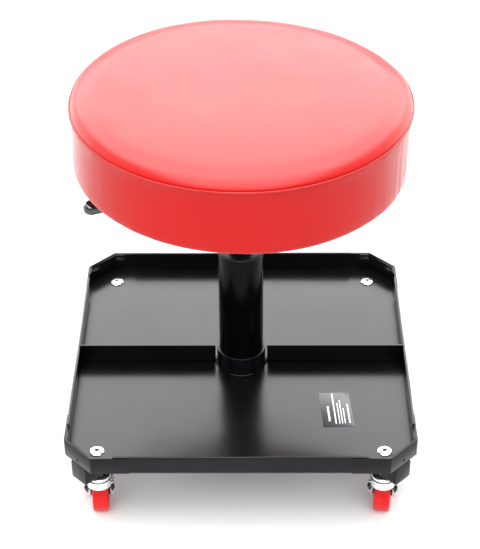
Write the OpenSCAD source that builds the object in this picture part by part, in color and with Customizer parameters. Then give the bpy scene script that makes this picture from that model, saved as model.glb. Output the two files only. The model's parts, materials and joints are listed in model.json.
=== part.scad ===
// Rolling workshop seat: a padded round seat on a gas-lift column, over a square tool tray on four casters.
// Millimetres, +Z up, -Y to the front. The origin is on the floor, under the column's axis.

/* [Tray] */
// Width of the tray across its flat sides
tray_w = 400; // [390:2:430]
// Leg of the triangle cut off each tray corner
corner_cut = 32; // [29:1:36]
// Height of the tray walls from the tray's underside
wall_h = 24.5; // [22:0.5:34]
// Thickness of the tray sheet
sheet_t = 1.5; // [1.2:0.1:2]
// Height of the two divider plates, from the tray's underside
divider_h = 26; // [20:0.5:34]

/* [Frame] */
// Height of a caster, from the floor to the underside of the frame
caster_h = 75; // [75:1:80]
// Side of the square frame tubes
arm_w = 25; // [22:1:28]
// Wall of the square frame tubes
arm_wall = 1.5; // [1.2:0.1:2.5]
// Outer diameter of the sleeve that holds the column
sleeve_d = 58.5; // [58:0.5:62]
// Rise of the sleeve above the tray's underside
sleeve_rise = 26.5; // [20:0.5:36]

/* [Column] */
// Outer diameter of the column tube
tube_d = 53; // [50:0.5:54]
// Wall of the column tube
tube_wall = 1.5; // [1.2:0.1:2]
// Rise of the column tube's mouth above the tray's underside
tube_rise = 168; // [150:1:170]
// Diameter of the gas cylinder
lift_d = 28; // [26:0.5:30]
// Diameter of the lift's rod
rod_d = 10; // [8:0.5:10]

/* [Seat] */
// Diameter of the padded seat
seat_d = 378; // [360:1:390]
// Height of the seat board's underside above the floor, with the lift fully out
seat_z = 395; // [395:1:410]
// Height of the side band, from the board's underside to the seam
band_h = 72; // [50:0.5:90]
// Rise of the crown above the seam
crown_h = 15; // [10:0.5:25]
// Thickness of the plywood seat board
board_t = 12; // [12:1:18]
// Direction in which the lever points, seen from above
lever_angle = 204.3; // [0:0.1:360]

/* [Casters] */
// Diameter of a wheel
wheel_d = 50; // [46:1:50]
// Width of a wheel's tread
wheel_w = 19; // [14:0.5:20]
// Distance from a caster's pivot axis to its wheel axle
trail = 18; // [16:0.5:20]
// Distance of each caster's pivot from the tray's two centre lines
pivot_offset = 164; // [160:1:168]

/* [Hidden] */
$fn = 96;
CORNERS = ["fl", "fr", "rl", "rr"];
CORNER_X = [-1, 1, -1, 1];
CORNER_Y = [-1, -1, 1, 1];
// direction in which each caster trails, turned from +Y
CASTER_TURN = [5, -9, -60, 65];

// clearances: parts that only meet, and shafts that turn or slide
gap = 0.3;
fit = 0.05;

// levels of the frame and the tray
tray_z = caster_h + arm_w;
floor_z = tray_z + sheet_t;
rim_z = tray_z + wall_h;
half_w = tray_w / 2;
// half of a straight tray side, and the distance from the centre to a corner face
side_half = half_w - corner_cut;
corner_r = (tray_w - corner_cut) / sqrt(2);
pivot_r = pivot_offset * sqrt(2);

// column and gas lift
tube_r = tube_d / 2;
bore_r = tube_r - tube_wall;
sleeve_r = sleeve_d / 2;
mouth_z = tray_z + tube_rise;
base_inset = 6;
base_z = caster_h + base_inset;
base_t = 3;
lift_r = lift_d / 2;
lift_wall = 1.5;
rod_r = rod_d / 2;
lift_hang = 23;
lift_top = seat_z - lift_hang;
lift_len = 194;
lift_bottom = lift_top - lift_len;
gland_t = 12;
piston_t = 12;
piston_z = lift_bottom + gland_t + 2;
// length of the rod that passes through the base plate, to take the clip
rod_tail = 3.5;
taper_l = 22;
taper_in = 0.4;
bush_l = 65;
bush_flange_t = 2;
washer_r = 15;
washer_t = 1.5;
ball_d = 4;
ball_ring_r = 10;
ball_count = 10;
// resting heights of the bearing stack, one on the next
washer_low_z = base_z + base_t;
balls_z = washer_low_z + washer_t;
washer_up_z = balls_z + ball_d + 0.1;
buffer_z = washer_up_z + washer_t;
buffer_h = 9.9;

// seat mechanism, in the lever's own frame with X along the lever
plate_t = 2.5;
pan_l = 120;
pan_w = 80;
pan_depth = 27;
flange_l = 170;
flange_w = 130;
flange_corner_r = 12;
bolt_x = 72;
bolt_y = 52;
bolt_r = 3;
tee_r = 4.5;
tee_flange_r = 9;
tee_flange_t = 1.2;
socket_l = 18;
socket_wall = 5;
lever_hang = 14;
lever_z = seat_z - lever_hang;
lever_r = 4;
lever_pivot_x = 36;
lever_bend_x = [62, 112];
lever_drop = 7;
grip_z = lever_z - lever_drop;
grip_r = 9;
grip_half_t = 6;
grip_start = 114;
grip_nose_x = 176.6;
rod_end_x = 160;
pin_r = 2.5;
lug_t = 2.5;
lug_y = 9.2;
lug_l = 16;
lug_h = 18;
button_r = 4;
// rounded tip of the lever, which hangs a little below the rod and meets the button
tip_r = 4.6;
tip_half = 5;
tip_z = lever_z + 0.4;
button_play = 0.1;
button_top = tip_z - tip_r - button_play;
button_l = 13;
button_bore_l = 14;

// seat pad
seat_r = seat_d / 2;
pad_side_t = 12;
wrap_t = 1.4;
board_r = seat_r - pad_side_t;
pad_base_z = seat_z - wrap_t;
seam_z = seat_z + band_h;
crown_z = seam_z + crown_h;
// half-width of the flat middle of the seat top
flat_r = 60;

// casters
wheel_r = wheel_d / 2;
axle_r = 3;
hub_r = 15;
head_r = 15.5;
head_wall = 1.8;
hex_h = 3.5;
stem_h = 11;
crown_top = caster_h - stem_h;
crown_t = 2;
skirt_h = 9;
skirt_z = crown_top - skirt_h;
race_ball_d = 3;
race_ring_r = 9;
race_count = 12;
race_play = 0.1;
stud_r = 4;
kingpin_r = 3;
leg_x = 11.8;
leg_t = 1.8;
leg_rib = 3;
rib_t = 1.6;
boss_r = 8;

// sleeve nuts that clamp the tray to the frame
nut_head_r = 8.5;
nut_head_h = 2.8;
nut_barrel_r = 5;
nut_barrel_l = 21;

// dimple that a spot welder leaves in the sheet
weld_r = 1.7;
weld_deep = 0.4;

red = "firebrick";
black = [0.06, 0.06, 0.065];
steel = [0.62, 0.63, 0.64];
zinc = [0.82, 0.83, 0.84];

// ---- shared shapes ----

// tube or washer standing on z = 0
module ring(r_out, r_in, h) {
    difference() {
        cylinder(r = r_out, h = h);
        translate([0, 0, -1]) cylinder(r = r_in, h = h + 2);
    }
}

// plate with round corners, standing on z = 0
module round_plate(l, w, h, r) {
    linear_extrude(height = h) union() {
        square([l, w - 2 * r], center = true);
        square([l - 2 * r, w], center = true);
        for (sx = [-1, 1], sy = [-1, 1])
            translate([sx * (l / 2 - r), sy * (w / 2 - r)]) circle(r = r);
    }
}

// straight round bar from p to q, both in the plane y = 0
module bar(p, q, r) {
    d = q - p;
    translate([p[0], 0, p[1]]) rotate([0, atan2(d[0], d[1]), 0]) cylinder(r = r, h = norm(d));
}

// octagon: a square of width w with its corners cut by c
function octagon(w, c) = let (h = w / 2) [
    [h - c, h], [h, h - c], [h, c - h], [h - c, -h],
    [c - h, -h], [-h, c - h], [-h, h - c], [c - h, h]];

// n + 1 points along an arc about (cx, cy)
function arc(cx, cy, r, a0, a1, n) = [
    for (i = [0 : n]) let (a = a0 + (a1 - a0) * i / n) [cx + r * cos(a), cy + r * sin(a)]];

// where a line from point p touches a circle; side is 1 or -1
function tangent(p, c, r, side) = let (
    d = p - c,
    a = atan2(d[1], d[0]) + side * acos(r / norm(d))) c + r * [cos(a), sin(a)];

// unit vector square to d, on its left
function left_of(d) = [-d[1], d[0]] / norm(d);

module at_corner(i) {
    translate([CORNER_X[i] * pivot_offset, CORNER_Y[i] * pivot_offset, 0]) children();
}

module at_caster(i) {
    at_corner(i) rotate([0, 0, CASTER_TURN[i]]) children();
}

module along_arm(i) {
    rotate([0, 0, atan2(CORNER_Y[i], CORNER_X[i])]) children();
}

module lever_frame() {
    rotate([0, 0, lever_angle]) children();
}

module at_plate_bolts() {
    lever_frame()
        for (sx = [-1, 1], sy = [-1, 1])
            translate([sx * bolt_x, sy * bolt_y, 0]) children();
}

// ---- tray ----

// one folded wall, with a hem turned in along its top edge and the dimples of its spot welds
module tray_side() {
    hem_half = side_half - 28;
    hem_t = 1.2;
    hem_h = 8;
    weld_x = side_half - 36;
    weld_z = 7;
    weld_step = [4, 10];
    difference() {
        union() {
            translate([-side_half, half_w - sheet_t, floor_z])
                cube([2 * side_half, sheet_t, wall_h - sheet_t]);
            translate([-hem_half, half_w - sheet_t - hem_t, rim_z - hem_h])
                cube([2 * hem_half, hem_t, hem_h]);
        }
        for (s = [-1, 1], up = [0, 1])
            translate([s * (weld_x - weld_step[0] * up), half_w - weld_deep,
                tray_z + weld_z + weld_step[1] * up])
                rotate([-90, 0, 0]) cylinder(r = weld_r, h = 2);
    }
}

module tray_pan() {
    color(black) {
        difference() {
            translate([0, 0, tray_z]) linear_extrude(height = sheet_t)
                polygon(octagon(tray_w, corner_cut));
            translate([0, 0, tray_z - 1]) cylinder(r = sleeve_r + fit, h = sheet_t + 2);
            for (i = [0 : 3])
                at_corner(i) translate([0, 0, tray_z - 1]) cylinder(r = nut_barrel_r + fit, h = sheet_t + 2);
        }
        for (a = [0, 90, 180, 270]) rotate([0, 0, a]) tray_side();
    }
}

// plate that closes a cut corner, with a wing spot-welded inside each neighbouring wall
module corner_plate(i) {
    wing = 26;
    // places of the dimples: across the plate, and up from the tray's underside
    welds = [[15, wall_h - 5], [3, sheet_t + 4]];
    in_1 = half_w - sheet_t;
    in_2 = in_1 - sheet_t;
    knee = side_half + sheet_t * (2 - sqrt(2));
    outline = [
        [half_w, side_half], [side_half, half_w], [side_half, in_1], [side_half - wing, in_1],
        [side_half - wing, in_2], [knee, in_2], [in_2, knee], [in_2, side_half - wing],
        [in_1, side_half - wing], [in_1, side_half]];
    color(black) difference() {
        turn_to_corner(i) translate([0, 0, floor_z])
            linear_extrude(height = wall_h - sheet_t) polygon(outline);
        along_arm(i)
            for (w = welds)
                translate([corner_r - weld_deep, w[0], tray_z + w[1]])
                    rotate([0, 90, 0]) cylinder(r = weld_r, h = 2);
    }
}

// turns a shape drawn in the +X +Y corner to corner i
module turn_to_corner(i) {
    rotate([0, 0, atan2(CORNER_Y[i], CORNER_X[i]) - 45]) children();
}

// upright plate across one half of the tray, with a foot flange and an end tab behind it
module divider(side) {
    x_in = sleeve_r + 2;
    x_out = half_w - sheet_t - 1.5;
    flange_y = 10;
    // the foot flange and the tab stop short of the plate's ends and of each other
    foot_in = x_in + 6;
    foot_out = x_out - 4;
    tab_rise = 3;
    tab_h = wall_h - 8;
    color(black) mirror([side < 0 ? 1 : 0, 0, 0]) {
        translate([x_in, -sheet_t / 2, floor_z]) cube([x_out - x_in, sheet_t, tray_z + divider_h - floor_z]);
        translate([foot_in, sheet_t / 2, floor_z]) cube([foot_out - foot_in, flange_y, sheet_t]);
        translate([x_out - sheet_t, sheet_t / 2, floor_z + tab_rise]) cube([sheet_t, flange_y, tab_h]);
    }
}

// blank label stuck on the tray floor
module tray_label() {
    centre = [112, -91];
    skew = 3.4;
    size = [36, 61, 0.3];
    color([0.55, 0.55, 0.56]) translate([centre[0], centre[1], floor_z]) rotate([0, 0, skew])
        translate([-size[0] / 2, -size[1] / 2, 0]) cube(size);
}

// ---- frame ----

module frame_arm(i) {
    start = sleeve_r + gap;
    len = corner_r - arm_wall - start;
    color(black) along_arm(i) difference() {
        translate([start, -arm_w / 2, caster_h]) cube([len, arm_w, arm_w]);
        translate([start - 1, -arm_w / 2 + arm_wall, caster_h + arm_wall])
            cube([len + 2, arm_w - 2 * arm_wall, arm_w - 2 * arm_wall]);
        translate([pivot_r, 0, caster_h - 1]) cylinder(r = stud_r + fit, h = arm_wall + 2);
        translate([pivot_r, 0, tray_z - arm_wall - 1]) cylinder(r = nut_barrel_r + fit, h = arm_wall + 2);
    }
}

module arm_caps() {
    color(black)
        for (i = [0 : 3])
            along_arm(i) translate([corner_r - arm_wall, -arm_w / 2, caster_h])
                cube([arm_wall, arm_w, arm_w]);
}

module column_sleeve() {
    bevel = 1;
    top = tray_z + sleeve_rise;
    in_r = tube_r + fit;
    color(black) rotate_extrude() polygon([
        [in_r, caster_h], [sleeve_r, caster_h], [sleeve_r, top - bevel],
        [sleeve_r - bevel, top], [in_r, top]]);
}

// domed nut with a long threaded barrel that reaches down through the tray into the frame tube
module sleeve_nuts() {
    rim = 0.8;
    hex_r = 2.8;
    roof = 2;
    dome = [for (a = [15 : 15 : 90]) [nut_head_r * cos(a), rim + (nut_head_h - rim) * sin(a)]];
    color(zinc)
        for (i = [0 : 3])
            at_corner(i) translate([0, 0, floor_z]) difference() {
                union() {
                    rotate_extrude() polygon(concat([[0, 0], [nut_head_r, 0], [nut_head_r, rim]], dome));
                    translate([0, 0, -nut_barrel_l]) cylinder(r = nut_barrel_r, h = nut_barrel_l + rim / 2);
                }
                translate([0, 0, -nut_barrel_l - 1]) cylinder(r = stud_r + fit, h = nut_barrel_l + 1 - roof);
                cylinder(r = hex_r, h = nut_head_h + 1, $fn = 6);
            }
}

// ---- column and gas lift ----

module column_tube() {
    color(black) difference() {
        translate([0, 0, base_z]) cylinder(r = tube_r, h = mouth_z - base_z);
        translate([0, 0, base_z + base_t]) cylinder(r = bore_r, h = mouth_z - base_z);
        translate([0, 0, base_z - 1]) cylinder(r = rod_r + fit, h = base_t + 2);
    }
}

module guide_bush() {
    color([0.12, 0.12, 0.12]) difference() {
        union() {
            translate([0, 0, mouth_z - bush_l]) cylinder(r = bore_r - fit, h = bush_l);
            translate([0, 0, mouth_z]) cylinder(r = tube_r - fit, h = bush_flange_t);
        }
        translate([0, 0, mouth_z - bush_l - 1]) cylinder(r = lift_r + fit, h = bush_l + bush_flange_t + 2);
    }
}

module washer_lower() {
    color(steel) translate([0, 0, washer_low_z]) ring(washer_r, rod_r + gap, washer_t);
}

module washer_upper() {
    color(steel) translate([0, 0, washer_up_z]) ring(washer_r, rod_r + fit, washer_t);
}

// caged ring of balls between the two washers
module ball_cage() {
    cage_t = 2;
    cage_r = [washer_r - 1.5, rod_r + 1];
    color(steel) translate([0, 0, balls_z + ball_d / 2]) {
        difference() {
            translate([0, 0, -cage_t / 2]) ring(cage_r[0], cage_r[1], cage_t);
            for (k = [0 : ball_count - 1])
                rotate([0, 0, k * 360 / ball_count]) translate([ball_ring_r, 0, -cage_t])
                    cylinder(r = ball_d / 2 + 2 * fit, h = 2 * cage_t);
        }
        for (k = [0 : ball_count - 1])
            rotate([0, 0, k * 360 / ball_count]) translate([ball_ring_r, 0, 0]) sphere(d = ball_d);
    }
}

module rubber_buffer() {
    color([0.1, 0.1, 0.1]) translate([0, 0, buffer_z]) ring(washer_r, rod_r + fit, buffer_h);
}

module lift_rod() {
    color(steel) translate([0, 0, base_z - rod_tail])
        cylinder(r = rod_r, h = piston_z + piston_t - base_z + rod_tail);
}

module rod_clip() {
    clip_t = 1.8;
    clip_w = 4;
    color(steel) translate([0, 0, base_z - clip_t - 0.5]) ring(rod_r + clip_w, rod_r + fit, clip_t);
}

module piston() {
    color(steel) translate([0, 0, piston_z])
        ring(lift_r - lift_wall - fit, rod_r + fit, piston_t);
}

module gas_cylinder() {
    top_t = 16;
    color(black) difference() {
        union() {
            translate([0, 0, lift_bottom]) cylinder(r = lift_r, h = lift_len - taper_l);
            translate([0, 0, lift_top - taper_l]) cylinder(r1 = lift_r, r2 = lift_r - taper_in, h = taper_l);
        }
        translate([0, 0, lift_bottom - 1]) cylinder(r = rod_r + fit, h = gland_t + 2);
        translate([0, 0, lift_bottom + gland_t])
            cylinder(r = lift_r - lift_wall, h = lift_len - gland_t - top_t);
        translate([0, 0, lift_top - button_bore_l]) cylinder(r = button_r + fit, h = button_bore_l + 1);
    }
}

module release_button() {
    color(zinc) translate([0, 0, button_top - button_l]) cylinder(r = button_r, h = button_l);
}

// ---- seat mechanism ----

module taper_socket() {
    floor_under = seat_z - pan_depth;
    r_low = lift_r + fit;
    color(black) difference() {
        translate([0, 0, floor_under - socket_l]) cylinder(r = lift_r + socket_wall, h = socket_l);
        translate([0, 0, floor_under - socket_l - 0.001])
            cylinder(r1 = r_low, r2 = r_low - taper_in * (socket_l - 4) / taper_l, h = socket_l + 0.002);
    }
}

// flanged pan, with the lever's two lugs inside it and a slot where the lever comes out
module seat_plate() {
    pan_z = seat_z - pan_depth;
    slot_w = 14;
    slot_h = 16;
    color(black) lever_frame() difference() {
        union() {
            translate([0, 0, seat_z - plate_t]) difference() {
                round_plate(flange_l, flange_w, plate_t, flange_corner_r);
                translate([0, 0, -1]) cube([pan_l - 2 * plate_t, pan_w - 2 * plate_t, 10], center = true);
            }
            difference() {
                translate([-pan_l / 2, -pan_w / 2, pan_z]) cube([pan_l, pan_w, pan_depth - plate_t]);
                translate([-pan_l / 2 + plate_t, -pan_w / 2 + plate_t, pan_z + plate_t])
                    cube([pan_l - 2 * plate_t, pan_w - 2 * plate_t, pan_depth]);
            }
            for (s = [-1, 1])
                translate([lever_pivot_x - lug_l / 2, s > 0 ? lug_y : -lug_y - lug_t, pan_z + plate_t])
                    cube([lug_l, lug_t, lug_h]);
        }
        translate([0, 0, pan_z - 1]) cylinder(r = lift_r + gap, h = plate_t + 2);
        translate([pan_l / 2 - plate_t - 1, -slot_w / 2, lever_z - slot_h / 2])
            cube([plate_t + 2, slot_w, slot_h]);
        translate([lever_pivot_x, lug_y + lug_t + 1, lever_z]) rotate([90, 0, 0])
            cylinder(r = pin_r + fit, h = 2 * (lug_y + lug_t + 1));
        for (sx = [-1, 1], sy = [-1, 1])
            translate([sx * bolt_x, sy * bolt_y, seat_z - plate_t - 1])
                cylinder(r = bolt_r + gap, h = plate_t + 2);
    }
}

module plate_bolts() {
    head_h = 4;
    washer_h = 1.2;
    color(zinc) at_plate_bolts() translate([0, 0, seat_z - plate_t]) {
        translate([0, 0, -washer_h]) cylinder(r = 6.5, h = washer_h);
        translate([0, 0, -washer_h - head_h]) cylinder(r = 5.5, h = head_h, $fn = 6);
        translate([0, 0, -washer_h / 2]) cylinder(r = bolt_r, h = washer_h / 2 + plate_t + board_t - 1);
    }
}

module tee_nuts() {
    tee_l = board_t - 2;
    color(zinc) at_plate_bolts() translate([0, 0, seat_z + board_t - tee_l]) difference() {
        union() {
            cylinder(r = tee_r, h = tee_l);
            translate([0, 0, tee_l - tee_flange_t]) cylinder(r = tee_flange_r, h = tee_flange_t);
        }
        translate([0, 0, -1]) cylinder(r = bolt_r + fit, h = tee_l + 2);
    }
}

// cranked rod that presses on the button with its rounded tip
module lever() {
    p0 = [0, lever_z];
    p1 = [lever_bend_x[0], lever_z];
    p2 = [lever_bend_x[1], grip_z];
    p3 = [rod_end_x, grip_z];
    crank = (p2 - p1) / norm(p2 - p1);
    crank_r = lever_r - 0.4;
    // block that turns on the pin between the two lugs
    block = [14, 2 * (lug_y - gap), 12];
    color(steel) lever_frame() {
        difference() {
            union() {
                translate([0, tip_half, tip_z]) rotate([90, 0, 0]) cylinder(r = tip_r, h = 2 * tip_half);
                bar(p0, p1, lever_r);
                bar(p1 - 2 * crank, p2 + 2 * crank, crank_r);
                bar(p2, p3, lever_r);
                translate([lever_pivot_x - block[0] / 2, -block[1] / 2, lever_z - block[2] / 2]) cube(block);
            }
            translate([lever_pivot_x, lug_y, lever_z]) rotate([90, 0, 0])
                cylinder(r = pin_r + fit, h = 2 * lug_y);
        }
    }
}

module lever_pin() {
    half_l = lug_y + lug_t + 1.5;
    color(zinc) lever_frame() translate([lever_pivot_x, half_l, lever_z]) rotate([90, 0, 0])
        cylinder(r = pin_r, h = 2 * half_l);
}

// flat moulded paddle with a round nose
module lever_grip() {
    neck_r = 6.5;
    neck_x = grip_start + 16;
    wide_x = neck_x + 16;
    color([0.05, 0.05, 0.05]) lever_frame() difference() {
        translate([0, 0, grip_z - grip_half_t]) linear_extrude(height = 2 * grip_half_t) union() {
            polygon([[grip_start, -neck_r], [neck_x, -neck_r], [wide_x, -grip_r], [grip_nose_x, -grip_r],
                [grip_nose_x, grip_r], [wide_x, grip_r], [neck_x, neck_r], [grip_start, neck_r]]);
            translate([grip_nose_x, 0]) circle(r = grip_r);
        }
        bar([lever_bend_x[1] - 1, grip_z], [rod_end_x + gap, grip_z], lever_r + fit);
    }
}

// ---- seat ----

module seat_board() {
    color([0.72, 0.55, 0.36]) difference() {
        translate([0, 0, seat_z]) cylinder(r = board_r, h = board_t);
        at_plate_bolts() {
            translate([0, 0, seat_z - 1]) cylinder(r = tee_r + fit, h = board_t + 2);
            translate([0, 0, seat_z + board_t - tee_flange_t])
                cylinder(r = tee_flange_r + fit, h = tee_flange_t + 1);
        }
    }
}

// padded top whose welted seam stands out over the side band; a roll hangs below the board's edge
module seat_cushion() {
    wrap_w = 18;
    board_in = board_r + 0.2;
    top_z = seat_z + board_t;
    // the band's foot rolls under at roll_r, and its lowest line hangs below the board by roll_drop
    roll_r = 5.5;
    roll_drop = 5;
    roll_x = seat_r - 4 - roll_r;
    roll = arc(roll_x, seat_z - roll_drop + roll_r, roll_r, -140, 0, 7);
    // inset of the band at fractions of its height
    band = [[0.2, 4.4], [0.5, 4.9], [0.8, 4.6], [0.9, 3.2], [0.95, 1.5], [0.98, 0.3], [1, 0]];
    side = [for (b = band) [seat_r - b[1], seat_z + b[0] * band_h]];
    // inset and rise of the top panel's edge, from the seam inwards
    edge = [[0.8, 1.2], [4, 4.6], [8, 7.8], [11.5, 9.4]];
    shoulder = [for (e = edge) [seat_r - e[0], seam_z + e[1]]];
    crown_r = seat_r - 24;
    crown_drop = 0.28 * crown_h;
    crown = [for (t = [0 : 0.2 : 1])
        [crown_r - t * (crown_r - flat_r), crown_z - crown_drop * pow(1 - t, 2)]];
    color(red) rotate_extrude() polygon(concat(
        [[0, top_z], [board_in, top_z], [board_in, seat_z], [board_r - wrap_w, seat_z],
         [board_r - wrap_w, pad_base_z], [roll_x - roll_r - 2, pad_base_z]],
        roll, side, shoulder, crown, [[0, crown_z]]));
}

// ---- casters ----

// threaded stud, hexagon, upper raceway and riveted kingpin in one piece
module caster_stem(i) {
    stud_l = 22;
    hex_r = 8.6;
    // domed upper raceway, with a skirt that hangs round the balls
    race_r = head_r - 1;
    race_top = caster_h - hex_h;
    race_t = 1.6;
    race_in_z = race_top - 4.2;
    race_z = race_in_z - 2;
    rivet_r = 5;
    rivet_t = 2.2;
    rivet_z = crown_top - crown_t - 0.2 - rivet_t;
    color(zinc) at_caster(i) {
        translate([0, 0, caster_h]) cylinder(r = stud_r, h = stud_l);
        translate([0, 0, race_top]) cylinder(r = hex_r, h = hex_h, $fn = 6);
        rotate_extrude() polygon([
            [0, race_top], [hex_r - 1.1, race_top], [race_r, race_in_z - 0.5], [race_r, race_z],
            [race_r - race_t, race_z], [race_r - race_t, race_in_z], [0, race_in_z]]);
        translate([0, 0, rivet_z]) cylinder(r = kingpin_r, h = race_top - 1 - rivet_z);
        translate([0, 0, rivet_z]) cylinder(r = rivet_r, h = rivet_t);
    }
}

module raceway_balls() {
    color(steel)
        for (i = [0 : 3], k = [0 : race_count - 1])
            at_caster(i) rotate([0, 0, k * 360 / race_count])
                translate([race_ring_r, 0, crown_top + race_play + race_ball_d / 2]) sphere(d = race_ball_d);
}

// one pressed leg with outward ribs along its edges, drawn in the plane of the wheel
module fork_leg() {
    root_half = 9;
    boss = [trail, wheel_r];
    front = [-root_half, crown_top - crown_t];
    back = [root_half, crown_top - crown_t];
    front_touch = tangent(front, boss, boss_r, 1);
    back_touch = tangent(back, boss, boss_r, -1);
    front_in = rib_t * left_of(front_touch - front);
    back_in = -rib_t * left_of(back_touch - back);
    rotate([90, 0, 90]) {
        linear_extrude(height = leg_t) union() {
            polygon([front, front_touch, back_touch, back]);
            translate(boss) circle(r = boss_r);
        }
        linear_extrude(height = leg_t + leg_rib) difference() {
            union() {
                polygon([front, front_touch, front_touch + front_in, front + front_in]);
                polygon([back, back_touch, back_touch + back_in, back + back_in]);
                translate(boss) circle(r = boss_r);
            }
            translate(boss) circle(r = boss_r - rib_t);
        }
    }
}

// crown with a lower raceway lip and a skirt, and two legs down to the axle
module fork(i) {
    lip_t = 1.6;
    lip_h = 0.7;
    color(zinc) at_caster(i) difference() {
        union() {
            rotate_extrude() polygon([
                [0, crown_top - crown_t], [head_r - head_wall, crown_top - crown_t],
                [head_r - head_wall, skirt_z], [head_r, skirt_z], [head_r, crown_top + lip_h],
                [head_r - lip_t, crown_top + lip_h], [head_r - lip_t, crown_top], [0, crown_top]]);
            translate([leg_x, 0, 0]) fork_leg();
            mirror([1, 0, 0]) translate([leg_x, 0, 0]) fork_leg();
        }
        translate([0, 0, crown_top - crown_t - 1]) cylinder(r = kingpin_r + fit, h = crown_t + 2);
        translate([-head_r - 1, trail, wheel_r]) rotate([0, 90, 0])
            cylinder(r = axle_r + fit, h = 2 * head_r + 2);
    }
}

// turned shape on the wheel's axle, from a profile of radius and position along the axle
module on_axle(i) {
    at_caster(i) translate([0, trail, wheel_r]) rotate([0, 90, 0]) rotate_extrude() children();
}

module wheel_hub(i) {
    hub_half = leg_x - 0.4;
    web_half = 4;
    rim_half = wheel_w / 2 - 1.5;
    rim_in = hub_r - 2;
    bore = axle_r + fit;
    nave_r = [6, 6.5];
    color([0.1, 0.1, 0.1]) on_axle(i) polygon([
        [bore, -hub_half], [nave_r[0], -hub_half], [nave_r[1], -web_half], [rim_in, -web_half],
        [rim_in, -rim_half], [hub_r, -rim_half], [hub_r, rim_half], [rim_in, rim_half], [rim_in, web_half],
        [nave_r[1], web_half], [nave_r[0], hub_half], [bore, hub_half]]);
}

module tyre(i) {
    half = wheel_w / 2;
    edge_r = 3;
    slope = 0.8;
    color("red") on_axle(i) polygon(concat(
        [[hub_r, slope - half], [hub_r + 2, -half]],
        arc(wheel_r - edge_r, -half + edge_r, edge_r, -90, 0, 6),
        arc(wheel_r - edge_r, half - edge_r, edge_r, 0, 90, 6),
        [[hub_r + 2, half], [hub_r, half - slope]]));
}

module axle_bolt(i) {
    head_l = 3;
    head_r_bolt = 4.8;
    nut_r = 5.6;
    grip_half = leg_x + leg_t;
    color(zinc) at_caster(i) translate([0, trail, wheel_r]) rotate([0, 90, 0]) {
        translate([0, 0, -grip_half]) cylinder(r = axle_r, h = 2 * grip_half);
        translate([0, 0, -grip_half - head_l]) cylinder(r = head_r_bolt, h = head_l);
        translate([0, 0, grip_half]) cylinder(r = nut_r, h = head_l, $fn = 6);
    }
}

// ---- what is drawn ----

seat_cushion();
seat_board();
tee_nuts();
seat_plate();
plate_bolts();
taper_socket();
gas_cylinder();
release_button();
lever();
lever_grip();
lever_pin();
column_tube();
guide_bush();
lift_rod();
piston();
rod_clip();
washer_lower();
washer_upper();
ball_cage();
rubber_buffer();
column_sleeve();
tray_pan();
divider(-1);  // divider_left
divider(1);  // divider_right
arm_caps();
sleeve_nuts();
tray_label();
raceway_balls();
for (i = [0 : 3]) {
    corner_plate(i);
    frame_arm(i);
    caster_stem(i);
    fork(i);
    wheel_hub(i);
    tyre(i);
    axle_bolt(i);
}
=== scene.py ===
# Rolling workshop seat: the looks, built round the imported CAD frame. Metres, +Z up, -Y to the front.
import json
import math

import bmesh
import bpy
from mathutils import Matrix, Vector, noise


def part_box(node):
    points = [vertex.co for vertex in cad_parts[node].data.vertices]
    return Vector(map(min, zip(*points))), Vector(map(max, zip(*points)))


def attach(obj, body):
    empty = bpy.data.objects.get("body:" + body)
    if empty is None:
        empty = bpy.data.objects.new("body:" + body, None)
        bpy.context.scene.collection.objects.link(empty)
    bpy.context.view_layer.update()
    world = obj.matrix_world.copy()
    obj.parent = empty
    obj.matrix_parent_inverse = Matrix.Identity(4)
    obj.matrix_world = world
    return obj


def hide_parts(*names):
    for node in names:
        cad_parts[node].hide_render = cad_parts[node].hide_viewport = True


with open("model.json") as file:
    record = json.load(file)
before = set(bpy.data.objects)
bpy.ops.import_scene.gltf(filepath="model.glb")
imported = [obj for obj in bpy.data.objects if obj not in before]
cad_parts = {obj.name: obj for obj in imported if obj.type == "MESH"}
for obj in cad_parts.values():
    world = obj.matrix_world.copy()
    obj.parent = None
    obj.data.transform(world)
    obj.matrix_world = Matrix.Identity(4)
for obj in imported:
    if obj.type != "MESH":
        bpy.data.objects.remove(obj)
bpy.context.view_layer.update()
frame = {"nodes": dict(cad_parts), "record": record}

# ---- sizes, from the frame ----

MM = 0.001
CORNERS = {"fl": (-1, -1), "fr": (1, -1), "rl": (-1, 1), "rr": (1, 1)}

tray_lo, tray_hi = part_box("tray_pan")
HALF_W = tray_hi.x
TRAY_Z = tray_lo.z
RIM_Z = tray_hi.z
SHEET = 1.5 * MM
FLOOR_Z = TRAY_Z + SHEET
CORNER_CUT = 32 * MM
SIDE_HALF = HALF_W - CORNER_CUT
CORNER_R = (2 * HALF_W - CORNER_CUT) / math.sqrt(2)

tube_lo, tube_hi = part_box("column_tube")
sleeve_lo, sleeve_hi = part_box("column_sleeve")
bush_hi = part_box("guide_bush")[1]
gas_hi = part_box("gas_cylinder")[1]
arm_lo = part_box("arm_caps")[0]
ARM_W = TRAY_Z - arm_lo.z
PIVOT = (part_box("caster_stem_fr")[0].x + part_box("caster_stem_fr")[1].x) / 2

board_lo, board_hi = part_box("seat_board")
pad_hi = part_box("seat_cushion")[1]
SEAT_R = pad_hi.x
BOARD_R = board_hi.x
# the seam lies a little lower than on the plain CAD cushion
SEAM_Z = board_lo.z + 70.4 * MM
SEAM_R = SEAT_R - 2.4 * MM

# the lever points this way, seen from above
LEVER_TURN = Matrix.Rotation(math.radians(204.3), 4, "Z")
grip_lo, grip_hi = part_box("lever_grip")
LEVER_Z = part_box("lever_pin")[0].z + 2.5 * MM
GRIP_Z = (grip_lo.z + grip_hi.z) / 2


# ---- small geometry helpers ----

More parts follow.
